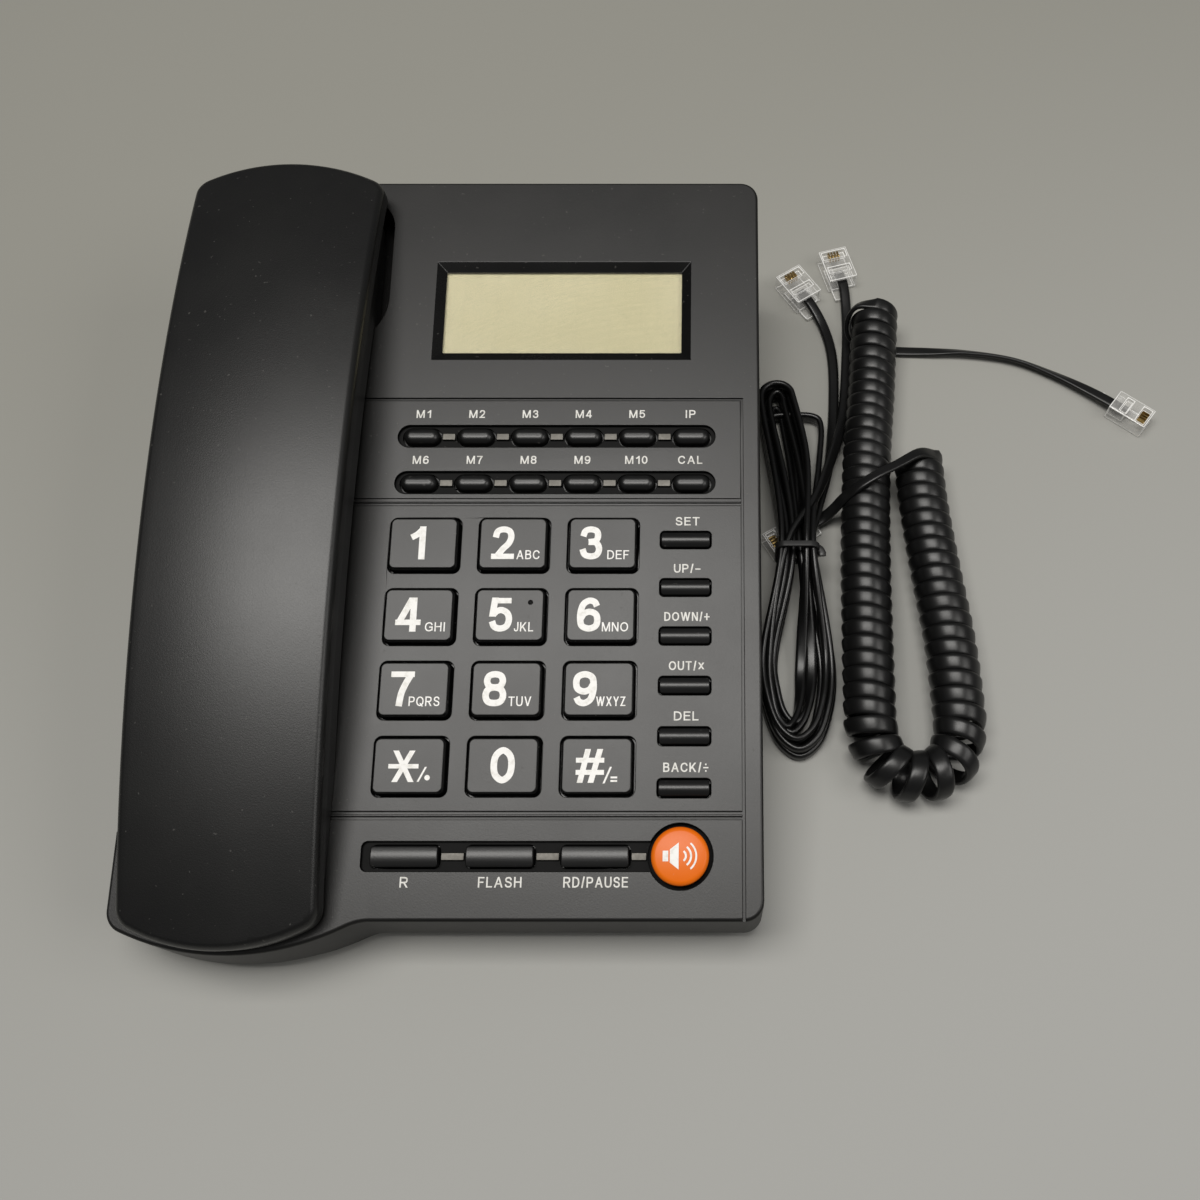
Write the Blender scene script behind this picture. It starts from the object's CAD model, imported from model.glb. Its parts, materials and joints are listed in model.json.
# Corded desk telephone: base with keys and display, handset on its cradle, loose cords.
# Places are in millimetres where a table or a call says so, and in metres in the meshes.
import json
import math

import bmesh
import bpy
from mathutils import Matrix, Vector


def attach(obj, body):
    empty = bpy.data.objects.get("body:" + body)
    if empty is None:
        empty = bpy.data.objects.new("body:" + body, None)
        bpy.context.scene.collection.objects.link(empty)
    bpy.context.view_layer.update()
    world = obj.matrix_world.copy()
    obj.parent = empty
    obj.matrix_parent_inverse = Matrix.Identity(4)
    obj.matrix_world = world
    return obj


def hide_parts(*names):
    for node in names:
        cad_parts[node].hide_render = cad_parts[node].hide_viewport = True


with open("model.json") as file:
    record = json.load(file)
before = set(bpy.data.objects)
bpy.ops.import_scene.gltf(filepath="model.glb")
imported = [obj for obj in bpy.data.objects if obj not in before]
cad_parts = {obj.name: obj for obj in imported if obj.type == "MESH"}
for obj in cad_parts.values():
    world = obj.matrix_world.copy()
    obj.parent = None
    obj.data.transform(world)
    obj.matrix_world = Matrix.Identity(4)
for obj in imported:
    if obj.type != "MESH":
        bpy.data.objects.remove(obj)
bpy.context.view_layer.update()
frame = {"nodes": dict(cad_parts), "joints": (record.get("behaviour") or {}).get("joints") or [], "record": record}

MM = 0.001
UP = Vector((0, 0, 1))

# The sloping panel: u to the right, v up the slope, w off the surface, in millimetres
press = next(j for j in frame["joints"] if j["name"] == "key_5_press")
OUT = -Vector(press["axis"]).normalized()
ALONG = Vector((0, OUT.z, -OUT.y))
PANEL_FRONT = Vector((0, -0.0995, 0.026))
PANEL = Matrix.Translation(PANEL_FRONT) @ Matrix((
    (1, ALONG.x, OUT.x, 0),
    (0, ALONG.y, OUT.y, 0),
    (0, ALONG.z, OUT.z, 0),
    (0, 0, 0, 1)))
PANEL_BACK = PANEL.inverted()


def spot(x, y, z):
    """A point given in millimetres."""
    return Vector((x, y, z)) * MM


# Camera at the photograph's place, looking down and forward
view = bpy.data.cameras.new("view")
view.sensor_width = 36
view.lens = 36
view.shift_x = -0.0993
view.clip_start = 0.01
camera = bpy.data.objects.new("view", view)
camera.location = spot(70.7, -147.94, 330.48)
camera.rotation_euler = (math.radians(24.04), 0, 0)
bpy.context.scene.collection.objects.link(camera)
bpy.context.scene.camera = camera


# Shader maths as Python expressions
class Wire:
    """A node socket; arithmetic on it adds Math nodes to its finish."""

    def __init__(self, finish, socket):
        self.finish = finish
        self.socket = socket

    def __add__(self, other):
        return self.finish.sum("ADD", self, other)

    def __radd__(self, other):
        return self.finish.sum("ADD", other, self)

    def __sub__(self, other):
        return self.finish.sum("SUBTRACT", self, other)

    def __mul__(self, other):
        return self.finish.sum("MULTIPLY", self, other)

    def __rmul__(self, other):
        return self.finish.sum("MULTIPLY", other, self)


class Finish:
    """A material; fixed values go straight onto the shader's sockets."""

    def __init__(self, name, **fixed):
        self.material = bpy.data.materials.new(name)
        self.material.use_nodes = True
        self.tree = self.material.node_tree
        self.shader = self.tree.nodes["Principled BSDF"]
        for socket, value in fixed.items():
            self.shader.inputs[socket.replace("_", " ")].default_value = value

    def node(self, kind, settings=None, sockets=None, output=0):
        """Adds any node: its settings first, then the values or links of its sockets."""
        made = self.tree.nodes.new(kind)
        for key, value in (settings or {}).items():
            setattr(made, key, value)
        for key, value in (sockets or {}).items():
            self.put(made.inputs[key], value)
        return Wire(self, made.outputs[output])

    def put(self, socket, value):
        if isinstance(value, Wire):
            self.tree.links.new(value.socket, socket)
        else:
            socket.default_value = value

    def sum(self, operation, a, b):
        return self.node("ShaderNodeMath", {"operation": operation}, {0: a, 1: b})

    def place(self):
        """The point on the piece, in metres."""
        return self.node("ShaderNodeTexCoord", output="Object")

    def along(self, axis):
        """How far the point lies along X, Y or Z, in metres."""
        return self.node("ShaderNodeSeparateXYZ", {}, {"Vector": self.place()}, output=axis)

    def noise(self, scale, detail, roughness):
        """Cloudy values from 0 to 1, with scale features to the metre."""
        return self.node("ShaderNodeTexNoise", {}, {
            "Vector": self.place(), "Scale": scale, "Detail": detail, "Roughness": roughness})

    def ramp(self, value, low, high):
        """0 below low, 1 above high, smooth between."""
        return self.node("ShaderNodeMapRange", {"interpolation_type": "SMOOTHSTEP"}, {
            "Value": value, "From Min": low, "From Max": high})

    def blend(self, share, a, b):
        """Colour a where share is 0, colour b where it is 1."""
        return self.node("ShaderNodeMix", {"data_type": "RGBA"}, {0: share, 6: a, 7: b}, output=2)

    def bump(self, height, strength, depth):
        self.surface(Normal=self.node("ShaderNodeBump", {}, {
            "Height": height, "Strength": strength, "Distance": depth}))

    def surface(self, **wires):
        for socket, value in wires.items():
            self.put(self.shader.inputs[socket.replace("_", " ")], value)


def shade(hexa):
    """A written colour as the renderer's linear one."""
    parts = [int(hexa[i:i + 2], 16) / 255 for i in (0, 2, 4)]
    return [p / 12.92 if p <= 0.04045 else ((p + 0.055) / 1.055) ** 2.4 for p in parts] + [1]


def moulded_plastic(name, dark, light, rough, grain_depth, gloss=0.5):
    """Moulded plastic with a fine spark-eroded grain, faint handling shine and dust."""
    made = Finish(name, Specular_IOR_Level=gloss)
    cloud = made.noise(26, 3, 0.6)
    grain = made.noise(2600, 2, 0.6)
    dust = made.ramp(made.noise(900, 1, 0.4), 0.74, 0.8)
    base = made.blend(made.ramp(cloud, 0.3, 0.7), shade(dark), shade(light))
    made.surface(
        Base_Color=made.blend(dust * 0.05, base, shade("c9c6be")),
        Roughness=rough + 0.1 * (cloud - 0.5) + 0.06 * (grain - 0.5) + 0.1 * dust)
    made.bump(grain, 0.35, grain_depth)
    return made.material


def cord_vinyl(name, dark, light, rough):
    """Glossy black vinyl with faint drawing lines and dull patches."""
    made = Finish(name, Specular_IOR_Level=0.42)
    cloud = made.noise(60, 3, 0.6)
    fine = made.noise(1500, 2, 0.5)
    made.surface(
        Base_Color=made.blend(cloud, shade(dark), shade(light)),
        Roughness=rough + 0.16 * (cloud - 0.5) + 0.08 * (fine - 0.5))
    made.bump(fine, 0.12, 0.00003)
    return made.material


def printed_ink(name, colour, thin):
    """Screen-printed ink, a little thin in places."""
    made = Finish(name, Specular_IOR_Level=0.35)
    cloud = made.noise(700, 3, 0.6)
    made.surface(
        Base_Color=made.blend(made.ramp(cloud, 0.45, 0.75), shade(colour), shade(thin)),
        Roughness=0.5 + 0.15 * (cloud - 0.5))
    made.bump(cloud, 0.1, 0.00002)
    return made.material


def bright_metal(name, colour, worn, rough):
    """Drawn or plated metal with fine streaks and tarnish."""
    made = Finish(name, Metallic=1.0)
    streak = made.noise(1200, 3, 0.6)
    made.surface(
        Base_Color=made.blend(made.ramp(made.noise(180, 3, 0.6), 0.4, 0.75), shade(colour), shade(worn)),
        Roughness=rough + 0.2 * (streak - 0.5))
    made.bump(streak, 0.15, 0.00002)
    return made.material


def clear_moulding(name, colour, edge, alpha, rough, veil, gloss):
    """Clear polycarbonate: mostly see-through, whiter where flow lines and scuffs lie."""
    made = Finish(name, Specular_IOR_Level=gloss)
    flow = made.noise(420, 3, 0.6)
    scuff = made.ramp(made.noise(1600, 2, 0.5), 0.55, 0.8)
    made.surface(
        Base_Color=made.blend(flow, shade(colour), shade(edge)),
        Roughness=rough + 0.12 * scuff,
        Alpha=alpha + veil * (made.ramp(flow, 0.5, 0.8) + 0.4 * scuff))
    made.bump(flow, veil, 0.0002)
    return made.material


def display_glass(name):
    """Reflective liquid crystal panel: beige green, with a faint lattice of unlit segments."""
    made = Finish(name, Specular_IOR_Level=0.4)
    segment = 0.0023
    cell = made.sum("PINGPONG", made.along("X"), segment)
    lattice = made.ramp(cell, 0.0019, 0.0021)
    cloud = made.noise(30, 2, 0.5)
    plain = made.blend(made.ramp(cloud, 0.3, 0.7), shade("e4dcb0"), shade("eae2b9"))
    made.surface(
        Base_Color=made.blend(lattice * 0.05, plain, shade("9d9a78")),
        Roughness=0.42 + 0.1 * (cloud - 0.5))
    made.bump(made.noise(3000, 1, 0.5), 0.05, 0.00002)
    return made.material


def speckled(name, dark, light, rough, scale, depth):
    """Rubber, board lacquer and other dull surfaces with a coarse tooth."""
    made = Finish(name, Specular_IOR_Level=0.4)
    tooth = made.noise(scale, 3, 0.6)
    made.surface(
        Base_Color=made.blend(tooth, shade(dark), shade(light)),
        Roughness=rough + 0.2 * (tooth - 0.5))
    made.bump(tooth, 0.4, depth)
    return made.material


def table_top(name):
    """Pale warm grey table, almost plain, a little darker and warmer at its far side."""
    made = Finish(name, Specular_IOR_Level=0.2)
    cloud = made.noise(3, 3, 0.6)
    tooth = made.noise(900, 2, 0.5)
    far = made.ramp(made.along("Y") - 0.35 * made.along("X") + 0.04 * (cloud - 0.5), -0.24, 0.24)
    made.surface(
        Base_Color=made.blend(far, shade("a5a5a2"), shade("92918a")),
        Roughness=0.7 + 0.1 * (tooth - 0.5))
    made.bump(tooth, 0.1, 0.0001)
    return made.material


BASE_BLACK = moulded_plastic("base_black", "0e0e0d", "121110", 0.4, 0.00005)
WALL_BLACK = moulded_plastic("wall_black", "0c0c0b", "100f0e", 0.46, 0.00006, 0.28)
HANDSET_BLACK = moulded_plastic("handset_black", "080808", "0c0c0b", 0.37, 0.00006)
KEY_BLACK = moulded_plastic("key_black", "0f0f0e", "131211", 0.4, 0.00004)
SMALL_KEY_BLACK = moulded_plastic("small_key_black", "0c0c0c", "121212", 0.34, 0.00003)
GLOSS_BLACK = moulded_plastic("gloss_black", "080808", "0d0d0d", 0.24, 0.00001)
FRAME_BLACK = moulded_plastic("frame_black", "080808", "0d0d0d", 0.26, 0.00001, 0.22)
SLOT_BLACK = moulded_plastic("slot_black", "060606", "0a0a0a", 0.6, 0.00004, 0.12)
BAR_SILVER = bright_metal("bar_silver", "605e5a", "585652", 0.5)
ORANGE = moulded_plastic("button_orange", "de6403", "e46e0a", 0.36, 0.00001, 0.3)
WHITE_INK = printed_ink("white_ink", "f0efec", "dcdad4")
LABEL_INK = printed_ink("label_ink", "dcdbd6", "c2c0b9")
DISPLAY = display_glass("display_glass")
WINDOW = clear_moulding("display_window_clear", "f2f2ec", "ffffff", 0.02, 0.06, 0.01, 0.15)
PLUG_CLEAR = clear_moulding("plug_clear", "eceae4", "ffffff", 0.12, 0.08, 0.15, 0.6)
PLUG_EDGE = clear_moulding("plug_edge", "f8f7f2", "ffffff", 0.8, 0.1, 0.15, 0.6)
GOLD = bright_metal("contact_gold", "b59a62", "8c7448", 0.32)
STEEL = bright_metal("screw_steel", "b8b8b6", "8a8987", 0.32)
COIL_VINYL = cord_vinyl("coil_vinyl", "0d0d0d", "131313", 0.34)
LINE_VINYL = cord_vinyl("line_vinyl", "0a0a0a", "111111", 0.3)
TIE_VINYL = cord_vinyl("tie_vinyl", "1b1b1b", "262626", 0.4)
RUBBER = speckled("foot_rubber", "3a3b3d", "48494b", 0.8, 1400, 0.0001)
MAT_RUBBER = speckled("key_mat_rubber", "75777a", "85878a", 0.7, 1200, 0.00008)
BOARD = speckled("board_lacquer", "1f5a33", "2f6f42", 0.45, 500, 0.00004)
PAPER = speckled("speaker_paper", "2b2a28", "3d3b38", 0.85, 700, 0.0002)
CAPSULE = speckled("capsule_plastic", "4a4b4c", "5a5b5c", 0.5, 900, 0.00005)
TABLE = table_top("table_grey")

# Which body each node rides on, and the finish of the nodes that show as they are
BODY_OF = {node: body for body, nodes in frame["record"]["behaviour"]["bodies"].items() for node in nodes}
NODE_FINISH = {
    "base_bottom": BASE_BLACK, "display_module": DISPLAY, "display_window": WINDOW, "main_board": BOARD,
    "key_mat": MAT_RUBBER, "hook_plunger": KEY_BLACK, "hook_spring": STEEL, "loudspeaker": PAPER,
    "line_jack": GLOSS_BLACK, "cord_jack": GLOSS_BLACK, "handset_jack": GLOSS_BLACK, "rubber_feet": RUBBER,
    "case_screws": STEEL, "handset_screws": STEEL, "receiver_capsule": CAPSULE, "microphone": CAPSULE}


def coat(piece, *finishes):
    """Gives a piece its finishes, in the order of its material indices."""
    piece.data.materials.clear()
    for finish in finishes:
        piece.data.materials.append(finish)


for node, finish in NODE_FINISH.items():
    coat(frame["nodes"][node], finish)


# Working on one piece at a time
def take(piece):
    """Makes a piece the only one that operators act on."""
    bpy.ops.object.select_all(action="DESELECT")
    piece.select_set(True)
    bpy.context.view_layer.objects.active = piece


class Bench:
    """Edit mode on one piece, with faces and edges picked by a test."""

    def __init__(self, piece):
        self.piece = piece

    def __enter__(self):
        take(self.piece)
        bpy.ops.object.mode_set(mode="EDIT")
        return self

    def __exit__(self, *rest):
        bpy.ops.object.mode_set(mode="OBJECT")

    def pick(self, kind, test):
        mesh = bmesh.from_edit_mesh(self.piece.data)
        bpy.ops.mesh.select_all(action="DESELECT")
        bpy.context.tool_settings.mesh_select_mode = (kind == "verts", kind == "edges", kind == "faces")
        for element in getattr(mesh, kind):
            element.select_set(bool(test(element)))
        mesh.select_flush_mode()
        bmesh.update_edit_mesh(self.piece.data)

    def everything(self):
        bpy.ops.mesh.select_all(action="SELECT")

    def paint(self, index, test):
        mesh = bmesh.from_edit_mesh(self.piece.data)
        for face in mesh.faces:
            if test(face):
                face.material_index = index
        bmesh.update_edit_mesh(self.piece.data)

    def cut(self, places, across):
        """Cuts right through the piece at each place, square to a direction."""
        for place in places:
            self.everything()
            bpy.ops.mesh.bisect(plane_co=place, plane_no=across)

    def round_off(self, width, segments=3):
        bpy.ops.mesh.bevel(offset=width * MM, segments=segments, profile=0.5, clamp_overlap=False)


def fresh(make, **settings):
    """The new piece that one of the primitive operators makes."""
    bpy.ops.object.select_all(action="DESELECT")
    make(**settings)
    return bpy.context.object


def modified(piece, kind, **settings):
    """Adds a modifier with its settings, and applies it."""
    take(piece)
    made = piece.modifiers.new(kind.lower(), kind)
    for key, value in settings.items():
        setattr(made, key, value)
    bpy.ops.object.modifier_apply(modifier=made.name)


def smooth(piece, degrees):
    """Smooth shading, with the large faces left flat."""
    take(piece)
    bpy.ops.object.shade_smooth_by_angle(angle=math.radians(degrees))
    modified(piece, "WEIGHTED_NORMAL", keep_sharp=True)


def settle(piece, name, body, finish, replaced=()):
    """Names a finished piece, gives it its finish and lets it ride on its body."""
    piece.name = name
    piece.data.name = name
    if finish is not None:
        coat(piece, finish)
    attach(piece, body)
    if replaced:
        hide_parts(*replaced)
    return piece


def new_piece(name, points, faces):
    mesh = bpy.data.meshes.new(name)
    mesh.from_pydata(points, [], faces)
    mesh.validate()
    piece = bpy.data.objects.new(name, mesh)
    bpy.context.scene.collection.objects.link(piece)
    return piece


def node_copy(node, name):
    """A merged copy of a node's mesh, with flat faces joined, ready for its edges to be rounded."""
    piece = bpy.data.objects.new(name, frame["nodes"][node].data.copy())
    bpy.context.scene.collection.objects.link(piece)
    with Bench(piece) as bench:
        bench.everything()
        bpy.ops.mesh.remove_doubles(threshold=2e-6)
        bpy.ops.mesh.dissolve_limited(angle_limit=math.radians(0.6))
    return piece


def joined(pieces):
    take(pieces[0])
    for piece in pieces[1:]:
        piece.select_set(True)
    if len(pieces) > 1:
        bpy.ops.object.join()
    return pieces[0]


def on_panel_w(point):
    """Height of a point off the panel, in millimetres."""
    return (PANEL_BACK @ point).z / MM


def panel_uv(point):
    place = PANEL_BACK @ point
    return place.x / MM, place.y / MM


# Cords: smooth routes and flat cords swept along them
def smooth_route(knots, per):
    """Points on a smooth curve through the knots, each a list of numbers of the same length."""
    first = [2 * a - b for a, b in zip(knots[0], knots[1])]
    last = [2 * a - b for a, b in zip(knots[-1], knots[-2])]
    full = [first, *knots, last]
    made = []
    for before, here, there, after in zip(full, full[1:], full[2:], full[3:]):
        d0, d1, d2 = [math.sqrt(math.dist(a[:3], b[:3]))
                      for a, b in ((before, here), (here, there), (there, after))]
        for k in range(per):
            t = k / per
            point = []
            for b, h, n, a in zip(before, here, there, after):
                leave = n - h + d1 * ((h - b) / d0 - (n - b) / (d0 + d1))
                reach = n - h + d1 * ((a - n) / d2 - (a - h) / (d1 + d2))
                point.append(h + t * (leave + t * (3 * (n - h) - 2 * leave - reach
                                                   + t * (leave + reach - 2 * (n - h)))))
            made.append(point)
    made.append(list(knots[-1]))
    return made


def even_route(points, step):
    """The same route with points a set distance apart, keeping every further number with it."""
    made = [points[0]]
    left = step
    for a, b in zip(points, points[1:]):
        gap = math.dist(a[:3], b[:3])
        gone = 0.0
        while gap - gone >= left:
            gone += left
            share = gone / gap
            made.append([p + (q - p) * share for p, q in zip(a, b)])
            left = step
        left -= gap - gone
    if math.dist(made[-1][:3], points[-1][:3]) > 0.3 * step:
        made.append(points[-1])
    else:
        made[-1] = points[-1]
    return made


def flat_section(width, thick, round_points=5):
    """Outline of a flat cord: two straight sides and round edges, in millimetres."""
    r = thick / 2
    reach = width / 2 - r
    ring = []
    for k in range(round_points + 1):
        a = math.radians(-90 + 180 * k / round_points)
        ring.append((reach + r * math.cos(a), r * math.sin(a)))
    ring.append((0, r * 0.93))
    for k in range(round_points + 1):
        a = math.radians(90 + 180 * k / round_points)
        ring.append((-reach + r * math.cos(a), r * math.sin(a)))
    ring.append((0, -r * 0.93))
    return ring


def oval_section(width, thick, count=18):
    """Outline of a soft oval cord, fuller than an ellipse."""
    ring = []
    for k in range(count):
        a = 2 * math.pi * (k + 0.5) / count
        ring.append((width / 2 * math.copysign(abs(math.cos(a)) ** 0.66, math.cos(a)),
                     thick / 2 * math.copysign(abs(math.sin(a)) ** 0.66, math.sin(a))))
    return ring


def headings(route):
    """Each point of a route, with the way ahead."""
    line = [Vector(p[:3]) for p in route]
    last = len(line) - 1
    ways = [line[min(i + 1, last)] - line[max(i - 1, 0)] for i in range(last + 1)]
    return [(here, way.normalized()) for here, way in zip(line, ways)]


def flat_cord(name, route, broad, section, widths=None):
    """A flat cord along a route in millimetres: the way its flat side faces, and how broad, at each point."""
    points = []
    faces = []
    n = len(section)
    last = len(route) - 1
    for i, (here, ahead) in enumerate(headings(route)):
        face = (broad[i] - ahead * broad[i].dot(ahead)).normalized()
        side = ahead.cross(face)
        wide, thick = widths[i] if widths else (1, 1)
        points += [(here + side * (a * wide) + face * (b * thick)) * MM for a, b in section]
    for i in range(last):
        for k in range(n):
            near = i * n + k
            next_k = i * n + (k + 1) % n
            faces.append((near, next_k, next_k + n, near + n))
    faces.append(tuple(range(n - 1, -1, -1)))
    faces.append(tuple(last * n + k for k in range(n)))
    piece = new_piece(name, points, faces)
    smooth(piece, 50)
    return piece


def lean(route):
    """Broad directions, leaning from flat towards the side by the angle that comes with each point."""
    made = []
    for point, (here, ahead) in zip(route, headings(route)):
        side = ahead.cross(UP).normalized()
        a = math.radians(point[3])
        made.append(side.cross(ahead) * math.cos(a) + side * math.sin(a))
    return made


# Curly cord: two limbs of close turns, opened out at the bend between them
CURL_AXIS = [
    (121.6, 98.6), (119.5, 72), (116.4, 42), (114.6, 12), (113.8, -14), (113.4, -32), (113.6, -45),
    (117.2, -54), (125.8, -57.6), (134.4, -54), (138, -45), (138.2, -32), (137.4, -16), (135, 6), (133, 28),
    (132.4, 43)]
BEND_FROM, BEND_TO = 6, 10
CURL_STEP, BEND_STEP = 4.45, 6.6
CURL_W, CURL_T = 4.3, 2.1
CURL_MOST_W = 4.9
# Breadth and thickness of the leads as shares of the coil's, and the points over which they grow to it
LEAD_W, LEAD_T, LEAD_RAMP = 0.82, 0.7, 8
CURL_R = 7.4 - CURL_T / 2
CURL_Z = 7.9
TURN_POINTS = 26
# The turns open out towards the front, lean a little, and the first ones rise over their lead
EASE, EASE_Y = 0.004, 50
TURN_LEAN, LAST_TURN_CUT = 0.2, 0.63
RISE, RISE_Y, RISE_OVER = 2.1, 78, 14
PLUG_Z = 3.15
PLUG_C = (197.4, 67.4, -38)
PLUG_D = (96.6, 22, 211)


def curl_turns():
    """Route, broad directions and widths of the coiled length, from the top of its first turn."""
    fine = 60
    axis = smooth_route(CURL_AXIS, fine)
    gone = [0.0]
    pitch = [CURL_STEP]
    for k in range(1, len(axis)):
        mid = (k - 0.5) / fine
        ramp = min(max(mid - BEND_FROM + 0.5, 0), 1) * min(max(BEND_TO + 0.5 - mid, 0), 1)
        close = CURL_STEP + EASE * (EASE_Y - axis[k][1])
        step = close + (BEND_STEP - close) * ramp * ramp * (3 - 2 * ramp)
        gone.append(gone[-1] + math.dist(axis[k - 1], axis[k]) / step)
        pitch.append(step)
    turns = math.floor(gone[-1] - 0.5) + 0.5
    route = []
    broad = []
    widths = []
    k = 0
    count = int((turns - LAST_TURN_CUT) * TURN_POINTS)
    for i in range(count + 1):
        turn = 0.5 + i / TURN_POINTS
        while k < len(gone) - 2 and gone[k + 1] < turn * gone[-1] / turns:
            k += 1
        share = (turn * gone[-1] / turns - gone[k]) / (gone[k + 1] - gone[k])
        here = Vector((*axis[k], 0)).lerp(Vector((*axis[k + 1], 0)), share)
        ahead = Vector((*axis[k + 1], 0)) - Vector((*axis[k], 0))
        ahead.normalize()
        q = 2 * math.pi * turn - math.pi / 2
        spoke = ahead.cross(UP) * math.cos(q) + UP * math.sin(q)
        lift = RISE * max(0, min(1, (here.y - RISE_Y) / RISE_OVER)) if k < 4 * fine else 0
        route.append(here + UP * (CURL_Z + lift) + spoke * CURL_R)
        broad.append(spoke - ahead * (TURN_LEAN * ahead.y))
        widths.append((min(pitch[k], CURL_MOST_W) / CURL_W, 1))
    return route, broad, widths


coil, coil_broad, coil_widths = curl_turns()
coil_start, coil_end = coil[0], coil[-1]
# Last number: lean of the flat side, in degrees
LEAD_TO_COIL = [
    (201.3, 64.3, PLUG_Z, 180), (197.4, 67.4, PLUG_Z, 180), (190.5, 72.8, 2.5, 190), (181, 79, 1.9, 214),
    (168, 85, 2, 232), (152, 88, 1.9, 222), (140, 88.6, 1.4, 194), (128, 89.2, 1, 180), (119, 90.5, 1.4, 190),
    (113.4, 91.8, 5.2, 225), (112.6, 94.8, 9.9, 265), (115.2, 96.9, 14.5, 315)]
lead_a = even_route(smooth_route(LEAD_TO_COIL + [(*coil_start, 360)], 12), 1.4)
lead_a_broad = lean(lead_a)
LEAD_TO_PLUG = [
    (131.8, 40.9, 16.6, 14), (124.5, 36.4, 17.6, 24), (118, 32.7, 17.7, 24), (112.6, 29.8, 16, 18),
    (108.4, 28, 11.6, 4), (105.4, 26.6, 6.7, 0), (102.4, 25.2, 3.8, 0), (96.6, 22, PLUG_Z, 0),
    (92.3, 19.4, PLUG_Z, 0)]


def lead_widths(lead):
    """A lead's breadth and thickness at each point, growing towards its last ones."""
    made = []
    for k in range(len(lead)):
        share = max(0, (k - len(lead) + LEAD_RAMP) / LEAD_RAMP)
        made.append((LEAD_W + (1 - LEAD_W) * share, LEAD_T + (1 - LEAD_T) * share))
    return made


lead_b = even_route(smooth_route([(*coil_end, 0)] + LEAD_TO_PLUG, 12), 1.4)
lead_b_broad = lean(lead_b)
curly_route = [Vector(p[:3]) for p in lead_a[:-1]] + coil + [Vector(p[:3]) for p in lead_b[1:]]
curly_broad = lead_a_broad[:-1] + coil_broad + lead_b_broad[1:]
curly_widths = [*lead_widths(lead_a)[:-1], *coil_widths, *lead_widths(lead_b)[:0:-1]]
curly = flat_cord("curly_cord_ribbon", curly_route, curly_broad, oval_section(CURL_W, CURL_T), curly_widths)
settle(curly, "curly_cord_ribbon", "base", COIL_VINYL, ("curly_cord", "curly_cord_leads"))

# Line cord: two tails and the loops of the hank, in one length
HANK_X, HANK_Y = 93.7, 12
LINE_W, LINE_T = 3.4, 1.85
PLUG_A = (100.9, 107.8, 124)
PLUG_B = (112.6, 115.2, 106)
LAY_Z = 1.95
LAY_STEP = 3.4
WAIST_Z = [8.2, 11.65, 15.1]
# Each loop, across from the middle of the hank: row and half breadth at the waist, lower end with its legs,
# depth and layers, lie of the right leg (90 on edge, 0 flat), and the upper end where there is one
LOOP_KEYS = (
    "row", "waist", "leg_r", "leg_l", "end", "depth", "lay_r", "lay_l", "lie",
    "top_l", "top", "top_r", "lay_t", "bulge", "square")
LOOPS = [dict(zip(LOOP_KEYS, loop)) for loop in (
    (0, 4.6, 10.2, -10.6, -50.0, 26, 0, 0, 90, -9.9, 73.5, -1.0, 0, 3.0),
    (0, 2.75, 8.4, -8.7, -47.6, 24.5, 0, 0, 90, -8.0, 70.5, -2.6, 0, 1.0),
    (0, 0.92, 6.6, -6.8, -45.2, 23, 0, 0, 90, -6.4, 66.0, -3.0, 0, -0.9),
    (1, 0.92, 4.0, -7.1, -40.6, 20, 0, 1, 14, -6.9, 70.0, -2.2, 1, 1.6),
    (1, 4.6, 9.6, -10.5, -48.9, 25, 1, 1, 90, -9.8, 73.0, -0.6, 1, 3.6),
    (1, 2.75, 3.9, -8.8, -43.8, 21.5, 0.35, 1, 8, -8.0, 62.5, 9.4, 0.4, 8.2, 0.55),
    (2, 4.6, 7.8, -10.4, -46.4, 24, 1, 2, 80, -9.6, 71.0, 0.4, 2, 4.0),
    (2, 2.75, 0.8, -8.6, -42.4, 19, 0.1, 2, 4))]


def hank_end(knots, x_a, x_b, lay_a, lay_b, y_end, depth, lie=90, square=1.0):
    """Adds the round end of a loop from one leg to the other; depth is negative at the lower end."""
    mid = (x_a + x_b) / 2
    for step in range(7):
        a = math.pi * step / 6
        across = math.copysign(abs(math.cos(a)) ** square, math.cos(a))
        along = 1 - max(math.sin(a), 0) ** square
        lay = lay_a + (lay_b - lay_a) * step / 6
        knots.append((HANK_X + mid + (x_a - mid) * across, y_end - depth * along, LAY_Z + LAY_STEP * lay,
                      lie + (90 - lie) * min(1, step / 2)))


def hank_knots():
    made = [
        (98.1, 111.9, PLUG_Z, 0), (100.9, 107.8, PLUG_Z, 0), (105.2, 99.6, 1.4, 0), (107.8, 88, 1.1, 0),
        (107.6, 66, 1.2, 10), (104.8, 42, 3.4, 50), (101.2, 26, 6.6, 85)]
    for loop in LOOPS:
        made.append((HANK_X + loop["waist"], HANK_Y, WAIST_Z[loop["row"]], 90))
        hank_end(made, loop["leg_r"], loop["leg_l"], loop["lay_r"], loop["lay_l"], loop["end"],
                 -loop["depth"], loop["lie"])
        made.append((HANK_X - loop["waist"], HANK_Y, WAIST_Z[loop["row"]], 90))
        if "top" in loop:
            hank_end(made, loop["top_l"], loop["top_r"], loop["lay_t"], loop["lay_t"], loop["top"], 5,
                     square=loop.get("square", 1.0))
            made.append((HANK_X + loop["bulge"], 44, LAY_Z + LAY_STEP * loop["lay_t"] + 1.2, 90))
    made += [
        (99.4, 27, 13.0, 70), (105.4, 44, 6.4, 30), (110.2, 62, 2.0, 0), (112.7, 86, 1.1, 0),
        (113.4, 103, 1.4, 0), (112.6, 115.2, PLUG_Z, 0), (111.2, 120, PLUG_Z, 0)]
    return made


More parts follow.
